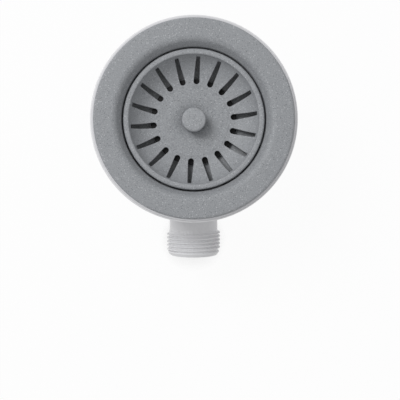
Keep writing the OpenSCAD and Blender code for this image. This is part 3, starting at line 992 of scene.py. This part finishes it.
def add_basket(bm):
    """Adds the slotted dish, its floor and its rim."""
    triangles, loop = sector_plan()
    for k in range(slot_count):
        turn = slot_start + 2 * math.pi * k / slot_count
        c = math.cos(turn)
        s = math.sin(turn)

        def at(point, z):
            return Vector((point.x * c - point.y * s, point.x * s + point.y * c, z))

        for corners in triangles:
            top = [bm.verts.new(at(p, dish_z(p.length) - edge_drop_at(from_slot(p.x, p.y)[0])))
                   for p in corners]
            bm.faces.new(top)
            low = [bm.verts.new(at(p, dish_z(p.length, basket_t))) for p in corners]
            bm.faces.new(low[::-1])
        for a, b in zip(loop, loop[1:] + loop[:1]):
            wall_points = ((a, dish_z(a.length) - slot_edge), (b, dish_z(b.length) - slot_edge),
                           (b, dish_z(b.length, basket_t)), (a, dish_z(a.length, basket_t)))
            bm.faces.new([bm.verts.new(at(p, z)) for p, z in wall_points])
    hole = stem_r + 0.1
    turn_by = slot_start - math.pi / slot_count
    floor = [(plan_in, floor_z), (floor_middle_r, floor_z), (hole, floor_z),
             (hole, stopper_high.z), (boss_r - 0.4, stopper_high.z),
             (boss_r, stopper_high.z + 0.4), (boss_r, floor_z - basket_t),
             (floor_middle_r, floor_z - basket_t), (plan_in, floor_z - basket_t)]
    under = [rim_in_r]
    while under[-1] < under_edge_r:
        under.append(min(under[-1] + 0.3, under_edge_r))
    rim = rounded([
        (rim_in_r, face_foot_z, 0),
        (rim_in_r, rim_z, 0.9),
        (rim_out_r, rim_z, 1.1),
        (rim_out_r, rim_z - 3.2, 0.5),
        (under_edge_r, rim_z - 3.2, 0)], 6)
    rim += [Vector((r, dish_z(r, basket_t))) for r in under[-2::-1]]
    for outline in (floor, rim):
        rings = []
        for r, z in outline:
            rings.append([Vector((r * math.cos(a + turn_by), r * math.sin(a + turn_by), z))
                          for a in (2 * math.pi * k / (PER_SECTOR * slot_count)
                                    for k in range(PER_SECTOR * slot_count))])
        add_rings(bm, rings, None, False)


def smooth_dish(piece):
    """Gives the dish's top the normals of its true surface."""
    mesh = piece.data
    normals = []
    for vert in mesh.vertices:
        x = vert.co.x / MM
        y = vert.co.y / MM
        z = vert.co.z / MM
        r = math.hypot(x, y)
        normal = Vector((0, 0, 0))
        if plan_in - 0.01 < r < rim_in_r - 0.01:
            sector = round((math.atan2(y, x) - slot_start) / (2 * math.pi / slot_count))
            turn = slot_start + 2 * math.pi * sector / slot_count
            px = x * math.cos(turn) + y * math.sin(turn)
            py = y * math.cos(turn) - x * math.sin(turn)
            far, way = from_slot(px, py)
            if abs(z - dish_z(r) + edge_drop_at(far)) < 0.01 and far > -0.01:
                out = min(max(r - floor_r, 0.0), dish_r * 0.999) / dish_r
                normal = Vector((-out * px / r, -out * py / r, math.sqrt(1 - out * out)))
                lean = min(max((slot_edge - far) / slot_edge, 0.0), 1.0)
                side = Vector((-way.x, -way.y, 0))
                normal = (normal * math.sqrt(1 - lean * lean) + side * lean).normalized()
                normal = Vector((normal.x * math.cos(turn) - normal.y * math.sin(turn),
                                 normal.x * math.sin(turn) + normal.y * math.cos(turn), normal.z))
        normals.append(normal)
    mesh.normals_split_custom_set_from_vertices(normals)


basket_bm = bmesh.new()
add_basket(basket_bm)
basket = finished("slotted_basket", basket_bm, stone_plastic, 40)
smooth_dish(basket)

# Knob: a short waisted grip with a barely domed top
knob_r = knob_high.x
knob_top = knob_high.z
knob = turned("finger_knob", rounded([
    (0, floor_z, 0),
    (knob_r - 0.4, floor_z, 0.15),
    (knob_r - 0.4, floor_z + 1.6, 0.6),
    (knob_r - 1.25, floor_z + 2.6, 0.8),
    (knob_r - 1.25, knob_top - 5, 0.8),
    (knob_r, knob_top - 4, 0.6),
    (knob_r, knob_top - 0.12, 0.95),
    (knob_r * 0.5, knob_top, 6),
    (0, knob_top, 0)], 7), stone_plastic, 96)

# What each piece stands for, what it rides on and its finish
PIECES = (
    (flange, "waste", "stone_coat", "strainer_flange"),
    (flange_seal, "waste", "white_seal", "flange_seal"),
    (body_seal, "waste", "white_seal", "body_seal"),
    (bell, "waste", "white_plastic", "waste_body"),
    (port, "waste", "white_plastic", "waste_body"),
    (port_fillet, "waste", "white_plastic", "waste_body"),
    (outlet, "waste", "white_plastic", "waste_body"),
    (gussets, "waste", "white_plastic", "waste_body"),
    (ribs, "waste", "white_plastic", "waste_body"),
    (screw, "waste", "stainless", "fixing_screw"),
    (stopper, "basket", "black_rubber", "stopper_seal"),
    (stem_nut, "basket", "stainless", "stem_nut"),
    (basket, "basket", "stone_plastic", "strainer_basket"),
    (knob, "basket", "stone_plastic", "basket_knob"),
)
for piece, carried_by, finish, node in PIECES:
    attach(piece, carried_by)
    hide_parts(node)

for node, finish in (("threaded_insert", brass), ("screw_washer", white_washer),
                     ("basket_stem", stainless), ("stem_ring", black_rubber),
                     ("stopper_washer", stainless)):
    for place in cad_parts[node].material_slots:
        place.material = finish

# Pale floor: white to the camera, with a painted soft shadow where the object comes near it and a
# faint trace of its real shadow
painted_shadow_reach = 0.031
painted_shadow_depth = 2.8
painted_shadow_share = 0.95
floor_mesh = bpy.data.meshes.new("studio_floor")
floor_mesh.from_pydata([(-3, -3, 0), (3, -3, 0), (3, 3, 0), (-3, 3, 0)], [], [(0, 1, 2, 3)])
studio_floor = bpy.data.objects.new("studio_floor", floor_mesh)
bpy.context.collection.objects.link(studio_floor)
floor_finish = bpy.data.materials.new("studio_floor")
floor_finish.use_nodes = True
tree = floor_finish.node_tree
tree.nodes.clear()
out = tree.nodes.new("ShaderNodeOutputMaterial")
paper = add_node(tree, "ShaderNodeBsdfDiffuse", inputs={"Color": srgb(225, 225, 226)})
# Ambient occlusion dims the floor's glow near the object: this is a painted shadow, not one cast by
# the lamp
shade = add_node(tree, "ShaderNodeAmbientOcclusion", samples=16, inputs={"Distance": painted_shadow_reach})
painted_shadow_glow = add_node(tree, "ShaderNodeEmission", inputs={"Color": (1, 1, 1, 1)})
light_path = tree.nodes.new("ShaderNodeLightPath")
to_glow = tree.nodes.new("ShaderNodeMixShader")
seen = math_node(tree, "MAXIMUM", light_path.outputs["Is Camera Ray"],
                 light_path.outputs["Is Glossy Ray"])
seen = math_node(tree, "MULTIPLY", seen, painted_shadow_share)
# The glow's strength is the occlusion raised to a power, which paints the shadow darker close to the
# object
tree.links.new(math_node(tree, "POWER", shade.outputs["AO"], painted_shadow_depth), painted_shadow_glow.inputs["Strength"])
tree.links.new(seen, to_glow.inputs[0])
tree.links.new(paper.outputs[0], to_glow.inputs[1])
tree.links.new(painted_shadow_glow.outputs[0], to_glow.inputs[2])
tree.links.new(to_glow.outputs[0], out.inputs["Surface"])
floor_mesh.materials.append(floor_finish)

# Soft studio light: an even pale room and one broad lamp high on the upper left
room = bpy.data.worlds.new("studio_room")
bpy.context.scene.world = room
room.use_nodes = True
tree = room.node_tree
tree.nodes.clear()
out = tree.nodes.new("ShaderNodeOutputWorld")
walls = add_node(tree, "ShaderNodeBackground", inputs={"Color": (1, 1, 1, 1), "Strength": 0.55})
white = add_node(tree, "ShaderNodeBackground", inputs={"Color": (1, 1, 1, 1), "Strength": 1.0})
light_path = tree.nodes.new("ShaderNodeLightPath")
choose = tree.nodes.new("ShaderNodeMixShader")
seen = math_node(tree, "MAXIMUM", light_path.outputs["Is Camera Ray"],
                 light_path.outputs["Is Transmission Ray"])
tree.links.new(seen, choose.inputs[0])
tree.links.new(walls.outputs[0], choose.inputs[1])
tree.links.new(white.outputs[0], choose.inputs[2])
tree.links.new(choose.outputs[0], out.inputs["Surface"])


def add_lamp(name, place, aim, size, power):
    """A round area lamp at a place, in metres, that faces its aim."""
    lamp = bpy.data.lights.new(name, "AREA")
    lamp.shape = "DISK"
    lamp.size = size
    lamp.energy = power
    holder = bpy.data.objects.new(name, lamp)
    holder.location = place
    holder.rotation_euler = (Vector(aim) - Vector(place)).to_track_quat("-Z", "Y").to_euler()
    bpy.context.collection.objects.link(holder)


add_lamp("key_lamp", (-0.62, 0.5, 1.15), (0, -0.02, 0.07), 0.7, 9.0)

# Camera: straight down from half a metre, as the photograph was taken
eye = bpy.data.cameras.new("photo_camera")
eye.sensor_width = 36
eye.lens = 71.93
eye.shift_x = 0.0245
eye.clip_start = 0.01
camera = bpy.data.objects.new("photo_camera", eye)
camera.location = (-2.1 * MM, -46.17 * MM, 545 * MM)
bpy.context.collection.objects.link(camera)
bpy.context.scene.camera = camera
bpy.context.scene.view_settings.view_transform = "Standard"
